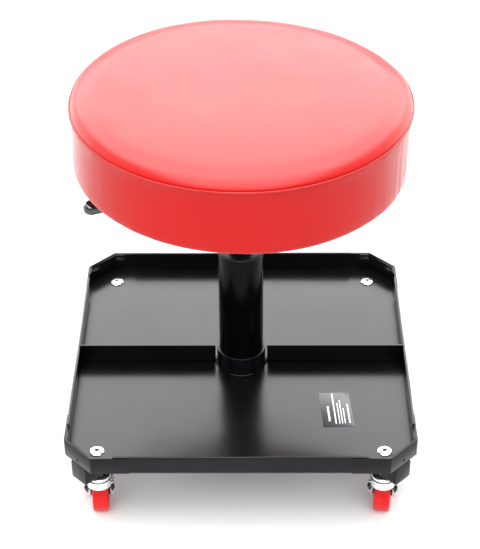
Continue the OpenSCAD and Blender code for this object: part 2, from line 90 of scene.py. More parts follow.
def arc(cx, cy, r, a0, a1, steps):
    """Points along an arc, with its angles in degrees."""
    turns = [math.radians(a0 + (a1 - a0) * k / steps) for k in range(steps + 1)]
    return [(cx + r * math.cos(a), cy + r * math.sin(a)) for a in turns]


def smooth(low, high, x):
    """0 below low, 1 above high, and an even ease between."""
    t = min(1.0, max(0.0, (x - low) / (high - low)))
    return t * t * (3 - 2 * t)


def up(z):
    return Vector((0, 0, z))


def oblong(half_x, half_y):
    """Corners of a rectangle about the origin, counter-clockwise."""
    return [(-half_x, -half_y), (half_x, -half_y), (half_x, half_y), (-half_x, half_y)]


def rounded(points, r, closed=True, steps=5):
    """A path whose corners are turned into arcs of radius r."""
    points = [Vector(p).to_3d() for p in points]
    last = len(points) - 1
    out = []
    for i, p in enumerate(points):
        if not closed and i in (0, last):
            out.append(p)
            continue
        u = (points[i - 1] - p).normalized()
        v = (points[(i + 1) % len(points)] - p).normalized()
        half = u.angle(v) / 2
        if half > math.radians(89.5):
            out.append(p)
            continue
        centre = p + (u + v).normalized() * (r / math.sin(half))
        start = p + u * (r / math.tan(half)) - centre
        end = p + v * (r / math.tan(half)) - centre
        axis = start.cross(end).normalized()
        turn = start.angle(end)
        out += [centre + Matrix.Rotation(turn * k / steps, 3, axis) @ start for k in range(steps + 1)]
    return out


def mitred(p, before, after, d):
    """A corner moved by d to the left of the edges before and after it, with sharp mitres cut short."""
    shortest = 0.4
    before, after = before.normalized(), after.normalized()
    side = Vector((-before.y, before.x))
    mitre = (side + Vector((-after.y, after.x))).normalized()
    return p + mitre * (d / max(shortest, mitre.dot(side)))


def inset(outline, d):
    """A counter-clockwise outline moved inwards by d."""
    return [mitred(p, p - outline[i - 1], outline[(i + 1) % len(outline)] - p, d)
            for i, p in enumerate(outline)]


def prism(outline, z0, z1, edge=0.3 * MM, steps=3):
    """An upright slab over a counter-clockwise outline, with its top and bottom edges rounded."""
    outline = [Vector((p[0], p[1])) for p in outline]
    n = len(outline)
    turns = [math.pi / 2 * k / steps for k in range(steps + 1)]
    layers = sorted((z0 + edge * (1 - math.sin(a)), edge * (1 - math.cos(a))) for a in turns)
    layers += [(z1 - (z - z0), d) for z, d in reversed(layers)]
    verts = []
    for z, d in layers:
        verts += [p.to_3d() + up(z) for p in (inset(outline, d) if d > 1e-9 else outline)]
    faces = [list(reversed(range(n))), [len(verts) - n + k for k in range(n)]]
    for row in range(len(layers) - 1):
        for k in range(n):
            a, b = row * n + k, row * n + (k + 1) % n
            faces.append([a, b, b + n, a + n])
    return verts, faces


def lathe(profile, segments=96, squash=None):
    """A turned form about Z. The profile runs from pole to pole, or is a closed ring off the axis.
    squash(angle, radius, z) gives a factor for the radius there."""
    verts, rings = [], []
    for r, z in profile:
        if r < 1e-7:
            rings.append([len(verts)] * segments)
            verts.append(up(z))
            continue
        rings.append(list(range(len(verts), len(verts) + segments)))
        for k in range(segments):
            a = math.tau * k / segments
            rr = r * (squash(a, r, z) if squash else 1)
            verts.append(Vector((rr * math.cos(a), rr * math.sin(a), z)))
    pairs = list(zip(rings, rings[1:]))
    if profile[0][0] > 1e-7:
        pairs.append((rings[-1], rings[0]))
    faces = []
    for low, high in pairs:
        for k in range(segments):
            n = (k + 1) % segments
            face = list(dict.fromkeys([low[k], low[n], high[n], high[k]]))
            if len(face) > 2:
                faces.append(face)
    return verts, faces


def tube(path, radius, sides=12, closed=False):
    """A round bar along a path; radius is a number or a function of the fraction along it."""
    path = [Vector(p) for p in path]
    n = len(path)
    size = radius if callable(radius) else (lambda t: radius)
    tangents = []
    for i in range(n):
        before = path[i - 1] if closed or i else path[0]
        after = path[(i + 1) % n] if closed or i < n - 1 else path[-1]
        tangents.append((after - before).normalized())
    side = tangents[0].orthogonal().normalized()
    verts, faces = [], []
    for i, (p, t) in enumerate(zip(path, tangents)):
        side = (side - t * side.dot(t)).normalized()
        other = t.cross(side)
        r = size(i / max(1, n - 1))
        for k in range(sides):
            a = math.tau * k / sides
            verts.append(p + side * (r * math.cos(a)) + other * (r * math.sin(a)))
    for i in range(n if closed else n - 1):
        for k in range(sides):
            a, b = i * sides + k, i * sides + (k + 1) % sides
            c, d = (a + sides) % len(verts), (b + sides) % len(verts)
            faces.append([a, b, d, c])
    if not closed:
        faces += [list(reversed(range(sides))), [len(verts) - sides + k for k in range(sides)]]
    return verts, faces


class Form:
    """One piece, gathered from closed shapes and then made into an object."""

    def __init__(self):
        self.verts = []
        self.faces = []

    def add(self, shape, matrix=None):
        verts, faces = shape
        base = len(self.verts)
        self.verts += [matrix @ v for v in verts] if matrix else list(verts)
        self.faces += [[base + i for i in f] for f in faces]
        return self

    def make(self, name, material, body, *nodes, sharp=38):
        mesh = bpy.data.meshes.new(name)
        mesh.from_pydata([tuple(v) for v in self.verts], [], self.faces)
        bm = bmesh.new()
        bm.from_mesh(mesh)
        bmesh.ops.remove_doubles(bm, verts=bm.verts, dist=1e-6)
        bmesh.ops.recalc_face_normals(bm, faces=bm.faces)
        bm.to_mesh(mesh)
        bm.free()
        shade(mesh, sharp)
        mesh.materials.append(MATERIALS[material])
        ob = bpy.data.objects.new(name, mesh)
        bpy.context.scene.collection.objects.link(ob)
        return settle(ob, material, body, *nodes)


def shade(mesh, sharp=38):
    """Smooth shading, with edges sharper than this angle kept crisp."""
    mesh.polygons.foreach_set("use_smooth", [True] * len(mesh.polygons))
    mesh.set_sharp_from_angle(angle=math.radians(sharp))
    mesh.update()


def settle(ob, material, body, *nodes):
    """Makes a piece ride on its body and stand for its CAD nodes."""
    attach(ob, body)
    if nodes:
        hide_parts(*nodes)
    return ob


def bevel(ob, width, segments=2, angle=35):
    """Rounds the edges that are sharper than this angle."""
    mod = ob.modifiers.new("edges", "BEVEL")
    mod.width = width
    mod.segments = segments
    mod.limit_method = "ANGLE"
    mod.angle_limit = math.radians(angle)
    mod.harden_normals = True


# ---- materials ----

class Shader:
    """A node material with a Principled shader, its detail measured in metres on the object."""

    def __init__(self, name, color, roughness, metallic=0.0, **sockets):
        self.name = name
        self.material = bpy.data.materials.new(name)
        self.material.use_nodes = True
        self.tree = self.material.node_tree
        self.bsdf = self.tree.nodes["Principled BSDF"]
        self.coords = self.node("ShaderNodeTexCoord").outputs["Object"]
        self.put("Base Color", (*color, 1))
        self.put("Roughness", roughness)
        self.put("Metallic", metallic)
        for socket, value in sockets.items():
            self.put(socket.replace("_", " "), value)
        self.height = None

    def put(self, socket, value):
        self.bsdf.inputs[socket].default_value = value

    def node(self, kind, **settings):
        made = self.tree.nodes.new(kind)
        for key, value in settings.items():
            setattr(made, key, value)
        return made

    def join(self, output, target):
        self.tree.links.new(output, target)

    def stretch(self, scale):
        mapping = self.node("ShaderNodeMapping")
        mapping.inputs["Scale"].default_value = scale
        self.join(self.coords, mapping.inputs["Vector"])
        return mapping.outputs["Vector"]

    def noise(self, scale, detail=3.0, rough=0.55, stretch=None):
        made = self.node("ShaderNodeTexNoise")
        made.inputs["Scale"].default_value = scale
        made.inputs["Detail"].default_value = detail
        made.inputs["Roughness"].default_value = rough
        self.join(self.stretch(stretch) if stretch else self.coords, made.inputs["Vector"])
        return made.outputs["Fac"]

    def cells(self, scale):
        made = self.node("ShaderNodeTexVoronoi")
        made.inputs["Scale"].default_value = scale
        self.join(self.coords, made.inputs["Vector"])
        return made.outputs["Distance"]

    def ramp(self, value, low, high, out_low, out_high):
        made = self.node("ShaderNodeMapRange")
        ends = {"From Min": low, "From Max": high, "To Min": out_low, "To Max": out_high}
        for socket, number in ends.items():
            made.inputs[socket].default_value = number
        self.join(value, made.inputs["Value"])
        return made.outputs["Result"]

    def math(self, operation, a, b):
        made = self.node("ShaderNodeMath", operation=operation)
        for k, value in enumerate((a, b)):
            if isinstance(value, (int, float)):
                made.inputs[k].default_value = value
            else:
                self.join(value, made.inputs[k])
        return made.outputs[0]

    def tint(self, mask, color):
        """Blends another colour over the base where the mask is high."""
        mix = self.node("ShaderNodeMix", data_type="RGBA")
        current = self.bsdf.inputs["Base Color"]
        if current.is_linked:
            self.join(current.links[0].from_socket, mix.inputs["A"])
        else:
            mix.inputs["A"].default_value = current.default_value
        mix.inputs["B"].default_value = (*color, 1)
        self.join(mask, mix.inputs["Factor"])
        self.join(mix.outputs["Result"], current)

    def roughness(self, value):
        self.join(value, self.bsdf.inputs["Roughness"])

    def bump(self, height, distance, strength):
        """Adds relief; distance is its real height in metres."""
        made = self.node("ShaderNodeBump")
        made.inputs["Strength"].default_value = strength
        made.inputs["Distance"].default_value = distance
        self.join(height, made.inputs["Height"])
        if self.height:
            self.join(self.height, made.inputs["Normal"])
        self.height = made.outputs["Normal"]
        self.join(self.height, self.bsdf.inputs["Normal"])

    def mottle(self, color, most, *texture, low=0.5, high=0.8):
        """Patches of another colour, at most this strong, where a noise texture is high."""
        self.tint(self.ramp(self.noise(*texture), low, high, 0.0, most), color)
        return self

    def wear(self, low, high, *texture):
        """Roughness that wanders between two values."""
        self.roughness(self.ramp(self.noise(*texture), 0.3, 0.7, low, high))
        return self

    def grain(self, height, strength, *texture):
        """Fine relief of this height in millimetres."""
        self.bump(self.noise(*texture), height * MM, strength)
        return self


def red_vinyl():
    """Supple vinyl with an embossed grain, with painted shade darker down in its pores."""
    s = Shader("red_vinyl", (0.43, 0.006, 0.0045), 0.34, Specular_IOR_Level=0.155,
               Sheen_Weight=0.6, Sheen_Roughness=0.3)
    pores = s.cells(780)
    s.mottle((0.36, 0.005, 0.0045), 0.35, 7, 2, low=0.4, high=0.7)
    # painted shade: darker colour down in the pores of the grain
    s.tint(s.ramp(pores, 0.0, 0.35, 0.25, 0.0), (0.3, 0.004, 0.0035))
    s.wear(0.31, 0.37, 26, 3)
    s.grain(0.1, 0.3, 90, 2)
    s.bump(pores, 0.06 * MM, 0.5)
    return s.grain(0.012, 0.5, 2600, 1)


def black_powder_coat():
    """Smooth powder coat with faint smears and a few specks of dust."""
    s = Shader("black_powder_coat", (0.002, 0.0019, 0.0026), 0.22, Specular_IOR_Level=0.195,
               Specular_Tint=(0.95, 0.94, 1.0, 1))
    s.mottle((0.004, 0.004, 0.0045), 0.5, 14, 4)
    s.mottle((0.05, 0.05, 0.05), 0.3, 1900, 0, low=0.74)
    smears = s.ramp(s.noise(16, 4, 0.6, (1, 0.35, 1)), 0.3, 0.7, 0.19, 0.24)
    s.roughness(s.math("ADD", smears, s.ramp(s.noise(260, 2), 0.3, 0.7, -0.015, 0.015)))
    return s.grain(0.006, 0.3, 1500, 2).grain(0.03, 0.2, 40, 1)


MATERIALS = {look.name: look.material for look in (
    red_vinyl(),
    black_powder_coat(),
    Shader("black_enamel", (0.001, 0.001, 0.0012), 0.22, Specular_IOR_Level=0.075)
    .mottle((0.002, 0.002, 0.0022), 0.5, 30, 4)
    .wear(0.16, 0.22, 60, 4, 0.6, (1, 1, 0.2)).grain(0.008, 0.3, 520, 2),

    Shader("zinc", (0.74, 0.75, 0.76), 0.22, 1.0)
    .mottle((0.62, 0.65, 0.71), 0.6, 160, 3, low=0.45, high=0.75)
    .mottle((0.72, 0.68, 0.58), 0.5, 90, 4, low=0.55)
    .wear(0.14, 0.32, 420, 4).grain(0.01, 0.4, 1500, 3),

    Shader("bright_steel", (0.56, 0.56, 0.57), 0.2, 1.0)
    .mottle((0.45, 0.44, 0.42), 0.5, 220, 3)
    .wear(0.14, 0.3, 900, 2, 0.6, (1, 1, 12)).grain(0.006, 0.4, 1400, 1, 0.6, (0.3, 0.3, 6)),

    Shader("black_plastic", (0.006, 0.006, 0.006), 0.3, Specular_IOR_Level=0.3)
    .mottle((0.01, 0.01, 0.01), 0.5, 120, 3)
    .wear(0.22, 0.4, 300, 3).grain(0.02, 0.5, 1600, 2),

    Shader("black_gloss", (0.006, 0.006, 0.006), 0.1, Coat_Weight=0.6, Coat_Roughness=0.05)
    .mottle((0.01, 0.01, 0.01), 0.5, 90, 3)
    .wear(0.08, 0.18, 220, 3).grain(0.01, 0.4, 700, 2),

    Shader("black_rubber", (0.02, 0.02, 0.02), 0.6)
    .mottle((0.04, 0.04, 0.038), 0.5, 200, 3)
    .wear(0.5, 0.75, 150, 3).grain(0.03, 0.5, 900, 2),

    Shader("red_wheel", (0.62, 0.006, 0.004), 0.3, Specular_IOR_Level=0.25)
    .mottle((0.55, 0.005, 0.0035), 0.4, 110, 4)
    .wear(0.26, 0.42, 260, 4).grain(0.02, 0.5, 1200, 3),

    # face veneer with its grain along X
    Shader("plywood", (0.56, 0.39, 0.23), 0.6)
    .mottle((0.4, 0.25, 0.13), 0.8, 30, 4, 0.6, (1, 9, 9), low=0.35, high=0.7)
    .mottle((0.3, 0.18, 0.09), 0.5, 14, 2, 0.6, (0.5, 5, 60), high=0.7)
    .wear(0.5, 0.75, 80, 3, 0.6, (1, 9, 9)).grain(0.08, 0.5, 160, 3, 0.6, (1, 12, 12)),

    Shader("label_film", (0.03, 0.03, 0.033), 0.28, Specular_IOR_Level=0.33)
    .mottle((0.037, 0.037, 0.041), 0.4, 300, 2, low=0.4, high=0.7)
    .wear(0.26, 0.36, 120, 3).grain(0.03, 0.4, 160, 2),

    Shader("label_print", (0.85, 0.86, 0.87), 0.4)
    .mottle((0.78, 0.79, 0.8), 0.4, 400, 2, low=0.4, high=0.7)
    .wear(0.35, 0.5, 300, 3).grain(0.01, 0.4, 900, 2))}


def dress_cad_nodes():
    """Every CAD node that stays gets its own material and small rounded edges."""
    slots = {s["node"]: s["material_slot"] for s in frame["record"]["subparts"]}
    for name, ob in frame["nodes"].items():
        for material_slot in ob.material_slots:
            material_slot.material = MATERIALS[slots[name]]
        if not ob.hide_render:
            bevel(ob, 0.35 * MM)


# ---- seat ----

COVER_SEGMENTS = 160
HEM_R = BOARD_R - 18 * MM
WRAP_Z = board_lo.z - 1.4 * MM
ROLL_R = 5.5 * MM
ROLL_X = SEAT_R - 3.6 * MM - ROLL_R


def cover_profile():
    """Radius and height of the cushion from the middle of the top to the board pocket, and which rows the
    cloth simulation holds still."""
    crown = pad_hi.z + 0.3 * MM
    flat, reach, fall = 60, 105, 3.5 * MM
    top = []
    for r in (0, 15, 30, 45, 60, 75, 90, 105, 120, 133, 145, 155, 163):
        top.append((r * MM, crown - fall * max(0.0, (r - flat) / reach) ** 2))
    shoulder = [(SEAT_R - inwards * MM, SEAM_Z + rise * MM) for inwards, rise in (
        (19.5, 11.3), (15.5, 10.4), (12.5, 9.3), (9.8, 8.0), (7.6, 6.5), (5.8, 4.9), (4.5, 3.5),
        (3.7, 2.3), (3.2, 1.1))]
    groove = SEAM_R - 0.9 * MM
    seam = [(groove, SEAM_Z + 0.3 * MM), (groove, SEAM_Z - 0.6 * MM)]
    band = [(SEAT_R - inwards * MM, SEAM_Z - drop * MM) for inwards, drop in (
        (2.8, 1.5), (2.9, 2.8), (3.3, 5.0), (3.8, 8.0), (4.1, 12.5), (4.3, 18), (4.4, 24), (4.3, 31),
        (4.2, 38), (4.0, 45), (3.8, 52), (3.6, 58), (3.5, 63.5))]
    roll = arc(ROLL_X, board_lo.z + 1.2 * MM, ROLL_R, -8, -132, 7)
    wrap = [(ROLL_X - ROLL_R - 2 * MM, WRAP_Z - 0.6 * MM), (HEM_R + 7 * MM, WRAP_Z), (HEM_R, WRAP_Z)]
    mouth = board_lo.z - 0.05 * MM
    side = BOARD_R + 0.15 * MM
    roof = board_hi.z + 0.1 * MM
    pocket = [(HEM_R, mouth), (side, mouth), (side, roof), (BOARD_R * 0.5, roof), (0, roof)]
    rows = top + shoulder + seam + band + roll + wrap + pocket
    held = [0.0] * (len(top) + len(shoulder) - 1) + [1.0] * 4
    held += [0.0] * (len(band) + len(roll) - 2) + [1.0] * (1 + len(wrap) + len(pocket))
    return rows, held


def swell(ob, weights, cap):
    """Lets the cover swell over its foam by cloth simulation, with no point moving further than the cap.
    The shifts are then evened out between neighbours."""
    frames, passes = 18, 8
    scene = bpy.context.scene
    held = ob.vertex_groups.new(name="held")
    for index, weight in enumerate(weights):
        if weight:
            held.add([index], weight, "REPLACE")
    cloth = ob.modifiers.new("cloth", "CLOTH")
    cloth.settings.quality = 5
    cloth.settings.mass = 0.5
    cloth.settings.tension_stiffness = 60
    cloth.settings.compression_stiffness = 60
    cloth.settings.shear_stiffness = 40
    cloth.settings.bending_stiffness = 12
    cloth.settings.shrink_min = -0.002
    cloth.settings.use_pressure = True
    cloth.settings.uniform_pressure_force = 3.0
    cloth.settings.vertex_group_mass = "held"
    cloth.settings.effector_weights.gravity = 0
    cloth.collision_settings.use_collision = False
    for step in range(1, frames + 1):
        scene.frame_set(step)
    evaluated = ob.evaluated_get(bpy.context.evaluated_depsgraph_get())
    moved = [v.co.copy() for v in evaluated.data.vertices]
    ob.modifiers.remove(cloth)
    ob.vertex_groups.clear()
    shifts = [(target - vertex.co) * (1 - w) for vertex, target, w in zip(ob.data.vertices, moved, weights)]
    shifts = [shift * min(1.0, cap / max(shift.length, 1e-9)) for shift in shifts]
    beside = [[] for _ in shifts]
    for edge in ob.data.edges:
        a, b = edge.vertices
        beside[a].append(b)
        beside[b].append(a)
    for _ in range(passes):
        shifts = [(shift + sum((shifts[b] for b in near), Vector())) / (1 + len(near)) * (1 - w)
                  for shift, near, w in zip(shifts, beside, weights)]
    for vertex, shift in zip(ob.data.vertices, shifts):
        vertex.co = vertex.co + shift
    scene.frame_set(1)


def cover_creases(co):
    """How far the vinyl stands out at a point: puckers along the seam, upright creases down the band."""
    angle = math.atan2(co.y, co.x)
    r = math.hypot(co.x, co.y)
    around = Vector((math.cos(angle), math.sin(angle), 0)) * SEAT_R
    side = smooth(SEAM_R - 7 * MM, SEAM_R - 2 * MM, r)
    below = SEAM_Z - co.z
    hang = smooth(0.0, 1.0, below / (SEAM_Z - WRAP_Z))
    puckers = noise.noise(around * 95 + up(co.z * 12)) * (0.4 if below > 0 else 0.12) * MM
    seam = puckers * (1 - smooth(1.0 * MM, 13 * MM, abs(below))) * smooth(0.2 * MM, 2 * MM, abs(below))
    creases = noise.noise(around * 110 + up(co.z * 7 + 3))
    fine = noise.noise(around * 240 + up(co.z * 14 + 8))
    patches = smooth(-0.15, 0.3, noise.noise(around * 5 + Vector((4, 1, 0))))
    ends = 0.3 + 0.7 * smooth(0.55, 0.95, abs(math.cos(angle)))
    band = (creases + 0.35 * fine) * (0.1 + 0.5 * patches) * ends * MM * (0.3 + hang) * side
    bulges = noise.noise(around * 11 + up(co.z * 16)) * 0.6 * MM * side
    bulges = bulges * smooth(0, 12 * MM, below)
    top = noise.noise(Vector((co.x, co.y, 2)) * 13) * 0.3 * MM * (1 - side)
    return seam + band + bulges + top


def lean(co):
    """How far the hand-made cover sits off true: its top lies to the right of the board, its foot hangs
    lower to the right, and its back edge rises to the left."""
    height = min(1.0, max(0.0, (co.z - WRAP_Z) / (SEAM_Z - WRAP_Z)))
    r = math.hypot(co.x, co.y)
    foot = (-0.026 * co.x + 0.011 * co.y) * (1 - height) * smooth(BOARD_R - 3 * MM, BOARD_R + 3 * MM, r)
    back = -0.014 * co.x * smooth(0, SEAT_R, co.y) * height * smooth(0, SEAT_R, r)
    behind = smooth(-0.5 * SEAT_R, 0.5 * SEAT_R, co.y)
    left = 0.016 * max(0.0, -co.x) * behind * height * smooth(0, SEAT_R, r)
    return Vector((1.8 * MM * height, 0, foot + back + left))


def seat_cover():
    """The whole cover over its foam, as one closed form."""
    rows, held = cover_profile()
    form = Form().add(lathe(rows, COVER_SEGMENTS))
    ob = form.make("seat_cover", "red_vinyl", "seat", "seat_cushion", sharp=60)
    weight_at = {}
    for (r, z), w in zip(rows, held):
        weight_at[(round(r * 1e5), round(z * 1e5))] = w
    weights = []
    for v in ob.data.vertices:
        key = (round(math.hypot(v.co.x, v.co.y) * 1e5), round(v.co.z * 1e5))
        weights.append(weight_at.get(key, 1.0))
    swell(ob, weights, 0.7 * MM)
    smooth_and_crease(ob)


def smooth_and_crease(ob):
    """One subdivision, then the creases, moved along each point's normal."""
    mod = ob.modifiers.new("subdivide", "SUBSURF")
    mod.levels = mod.render_levels = 1
    evaluated = ob.evaluated_get(bpy.context.evaluated_depsgraph_get())
    mesh = bpy.data.meshes.new_from_object(evaluated)
    ob.modifiers.remove(mod)
    ob.data = mesh
    places = [(v.co.copy(), v.normal.copy()) for v in mesh.vertices]
    moved = []
    for co, normal in places:
        r = math.hypot(co.x, co.y)
        inside = r < BOARD_R + 0.6 * MM and board_lo.z - 0.6 * MM < co.z < board_hi.z + 1 * MM
        if not inside:
            co = co + normal * cover_creases(co)
            co = co + lean(co)
        moved.extend(co)
    mesh.vertices.foreach_set("co", moved)
    shade(mesh, 60)


def seam_point(angle, out, lift):
    """A point on the seam, which rises and falls a little with the stitching."""
    around = Vector((math.cos(angle), math.sin(angle), 0))
    wave = noise.noise(around * SEAT_R * 75) * 0.22 * MM + noise.noise(around * SEAT_R * 14) * 0.4 * MM
    point = around * (SEAM_R + out) + up(SEAM_Z + lift + wave)
    return point + lean(point)


def seam_path(lift, out, count=540):
    return [seam_point(math.tau * k / count, out, lift) for k in range(count)]


def seat_piping():
    """The thin welt between the top panel and the band."""
    form = Form().add(tube(seam_path(-0.15 * MM, 0.35 * MM), 0.95 * MM, 10, closed=True))
    form.make("seat_piping", "red_vinyl", "seat")


def seat_stitches():
    """A row of short stitches along the band, just under the welt."""
    count = 300
    form = Form()
    for k in range(count):
        path = []
        for t in (0, 0.25, 0.5, 0.75, 1):
            angle = math.tau * (k + 0.7 * t) / count
            path.append(seam_point(angle, -0.75 * MM + math.sin(math.pi * t) * 0.2 * MM, -2.7 * MM))
        form.add(tube(path, 0.22 * MM, 6))
    form.make("seat_stitches", "red_vinyl", "seat")


def seat_hem():
    """The cover's cut edge under the board: a thin strip with pleats where the vinyl is gathered."""
    count = 360
    verts, faces = [], []
    rows = (0, 0.3, 0.7, 1.0)
    for k in range(count):
        a = math.tau * k / count
        around = Vector((math.cos(a), math.sin(a), 0))
        fold = abs(noise.noise(around * SEAT_R * 60)) * 1.3 * MM
        ragged = noise.noise(around * SEAT_R * 35 + up(5)) * 2.5 * MM
        for t in rows:
            r = HEM_R - 4 * MM + ragged * (1 - t) + t * 13 * MM
            lift = 0.5 * MM * (1 - t)
            verts.append(around * r + up(WRAP_Z - fold * (1 - 0.5 * t) + lift))
    top = len(verts)
    verts += [v + up(0.9 * MM) for v in verts]
    width = len(rows)
    for k in range(count):
        n = (k + 1) % count
        for j in range(width - 1):
            a, b, c, d = k * width + j, n * width + j, n * width + j + 1, k * width + j + 1
            faces += [[a, b, c, d], [top + d, top + c, top + b, top + a]]
        first, after = k * width, n * width
        faces.append([first, top + first, top + after, after])
        first, after = first + width - 1, after + width - 1
        faces.append([first, after, top + after, top + first])
    Form().add((verts, faces)).make("seat_hem", "red_vinyl", "seat")


def seat_staples():
    """Wire staples that hold the cover under the board."""
    count = 48
    form = Form()
    for k in range(count):
        a = math.tau * (k + 0.25 * math.sin(k * 7.0)) / count
        skew = 0.25 * math.sin(k * 3.0)
        centre = Vector((math.cos(a), math.sin(a), 0)) * (HEM_R + 4 * MM)
        along = Vector((-math.sin(a + skew), math.cos(a + skew), 0)) * 5 * MM
        low, high = WRAP_Z - 1.2 * MM, WRAP_Z + 1.4 * MM
        path = rounded([centre - along + up(high), centre - along + up(low),
                        centre + along + up(low), centre + along + up(high)],
                       0.6 * MM, closed=False, steps=3)
        form.add(tube(path, 0.45 * MM, 6))
    form.make("seat_staples", "zinc", "seat")


# ---- height lever ----

def height_lever():
    """Cranked steel rod with its end over the valve and a block on the pivot pin."""
    path = rounded([(-4 * MM, 0, LEVER_Z + 0.2 * MM), (62 * MM, 0, LEVER_Z), (112 * MM, 0, GRIP_Z),
                    (160 * MM, 0, GRIP_Z)], 30 * MM, closed=False, steps=8)
    form = Form()
    form.add(tube(path, 4 * MM, 24), LEVER_TURN)
    pin_x = 36 * MM
    block = prism(rounded(oblong(7 * MM, 8.9 * MM), 1.2 * MM), -6 * MM, 6 * MM, 0.8 * MM)
    form.add(block, LEVER_TURN @ Matrix.Translation((pin_x, 0, LEVER_Z)))
    form.make("lever_rod", "zinc", "lever", "lever")


def lever_paddle():
    """Moulded paddle: a narrow neck that widens to a round nose, soft along every edge."""
    start, neck, wide, nose_x = 114 * MM, 130 * MM, 146 * MM, 176.6 * MM
    neck_r, nose_r = 6.5 * MM, 9 * MM
    half_t = 6 * MM
    side = []
    for k in range(9):
        t = k / 8
        side.append((neck + (wide - neck) * t, neck_r + (nose_r - neck_r) * smooth(0, 1, t)))
    nose = arc(nose_x, 0, nose_r, -90, 90, 24)
    outline = [(start, -neck_r)] + [(x, -y) for x, y in side] + nose + [(x, y) for x, y in reversed(side)]
    outline.append((start, neck_r))
    form = Form().add(prism(outline, GRIP_Z - half_t, GRIP_Z + half_t, 4.2 * MM, 8), LEVER_TURN)
    form.make("lever_paddle", "black_gloss", "lever", "lever_grip", sharp=50)


# ---- column ----

def column_shell():
    """Outer column tube with a rolled mouth and its base plate."""
    r = tube_hi.x
    wall = 1.5 * MM
    base = 3 * MM
    lip = 0.6 * MM
    bore = 5.05 * MM
    profile = [(bore, tube_lo.z), (r - 0.3 * MM, tube_lo.z), (r, tube_lo.z + 0.3 * MM)]
    profile += arc(r - lip, tube_hi.z - lip, lip, 0, 90, 4)
    profile += [(r - wall, tube_hi.z), (r - wall, tube_lo.z + base), (bore, tube_lo.z + base)]
    Form().add(lathe(profile, 128)).make("column_shell", "black_enamel", "root", "column_tube")


def column_collar():
    """Sleeve that holds the column, with a turned edge round its top."""
    r = sleeve_hi.x
    inner = tube_hi.x + 0.05 * MM
    edge = 0.9 * MM
    profile = [(inner, sleeve_lo.z), (r - 0.3 * MM, sleeve_lo.z), (r, sleeve_lo.z + 0.3 * MM)]
    profile += arc(r - edge, sleeve_hi.z - edge, edge, 0, 90, 5)
    profile += arc(inner + 0.3 * MM, sleeve_hi.z - 0.3 * MM, 0.3 * MM, 90, 180, 3)
    Form().add(lathe(profile, 128)).make("column_collar", "black_powder_coat", "root", "column_sleeve")


def bush_lip():
    """Plastic guide bush, of which only the flange shows above the tube."""
    r = bush_hi.x
    inner = gas_hi.x + 0.05 * MM
    stem_r = tube_hi.x - 1.6 * MM
    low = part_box("guide_bush")[0].z
    profile = [(inner, low), (stem_r, low), (stem_r, tube_hi.z), (r, tube_hi.z)]
    profile += arc(r - 0.7 * MM, bush_hi.z - 0.7 * MM, 0.7 * MM, 0, 90, 4)
    profile += arc(inner + 0.5 * MM, bush_hi.z - 0.5 * MM, 0.5 * MM, 90, 180, 3)
    Form().add(lathe(profile, 96)).make("bush_lip", "black_plastic", "root", "guide_bush")


def weld_bead(a0, a1, r, z, size):
    """Points and thickness of a hand-laid bead round the sleeve, from angle a0 to a1 in degrees."""
    steps = int(abs(a1 - a0) / 1.5) + 2
    path = []
    for k in range(steps + 1):
        a = math.radians(a0 + (a1 - a0) * k / steps)
        wander = noise.noise(Vector((math.cos(a), math.sin(a), z)) * 6) * 0.4 * MM
        path.append((math.cos(a) * (r + wander), math.sin(a) * (r + wander), z))

    def thick(t):
        ends = smooth(0, 0.06, t) * smooth(0, 0.06, 1 - t)
        return size * (0.25 + 0.75 * ends) * (1 + 0.13 * math.sin(t * steps * 2.1))
    return tube(path, thick, 10)


def sleeve_welds():
    """Beads round the sleeve, on the tray floor and under the frame tubes."""
    form = Form()
    for a0, a1 in ((-118, -62), (-14, 22), (64, 112), (158, 196)):
        form.add(weld_bead(a0, a1, sleeve_hi.x + 0.4 * MM, FLOOR_Z + 0.5 * MM, 1.7 * MM))
    for a0 in (30, 120, 210, 300):
        form.add(weld_bead(a0, a0 + 30, sleeve_hi.x + 0.3 * MM, arm_lo.z - 0.1 * MM, 1.6 * MM))
    form.make("sleeve_welds", "black_powder_coat", "root")


# ---- frame ----

def corner_turn(corner):
    """Turns a shape drawn along +X to a corner's diagonal."""
    sx, sy = CORNERS[corner]
    return Matrix.Rotation(math.atan2(sy, sx), 4, "Z")


def frame_arms():
    """Square tubes with rounded corners, from the sleeve to the cut corners, and their welded caps."""
    radius = 2.4 * MM
    half = ARM_W / 2
    cap = 1.5 * MM
    start = sleeve_hi.x - 0.4 * MM
    square = rounded(oblong(half, half), radius)
    on_side = Matrix.Translation((0, 0, arm_lo.z + half)) @ Matrix.Rotation(math.pi / 2, 4, "Y")
    caps = Form()
    for corner in CORNERS:
        lay = corner_turn(corner) @ on_side
        Form().add(prism(square, start, CORNER_R - cap, 0.2 * MM, 2), lay).make(
            "frame_tube_" + corner, "black_powder_coat", "root", "frame_arm_" + corner)
        plate = [p * 0.985 for p in square]
        caps.add(prism(plate, CORNER_R - cap - 0.3 * MM, CORNER_R, 0.5 * MM, 3), lay)
    caps.make("tube_caps", "black_powder_coat", "root", "arm_caps")


# ---- tray ----

WALL_OUT = HALF_W - 0.8 * MM
BEND_R = 1.6 * MM
HEM_FOLD_R = 1.6 * MM


def tray_warp(x, y):
    """How far the thin floor springs up or down; it lies flat at its bends and along the dividers."""
    edge = smooth(0, 34 * MM, WALL_OUT - BEND_R - max(abs(x), abs(y)))
    middle = smooth(6 * MM, 40 * MM, abs(y))
    ripple = noise.noise(Vector((x * 9, y * 9, 3.3))) + 0.5 * noise.noise(Vector((x * 22, y * 22, 7.1)))
    return ripple * 0.4 * MM * edge * middle


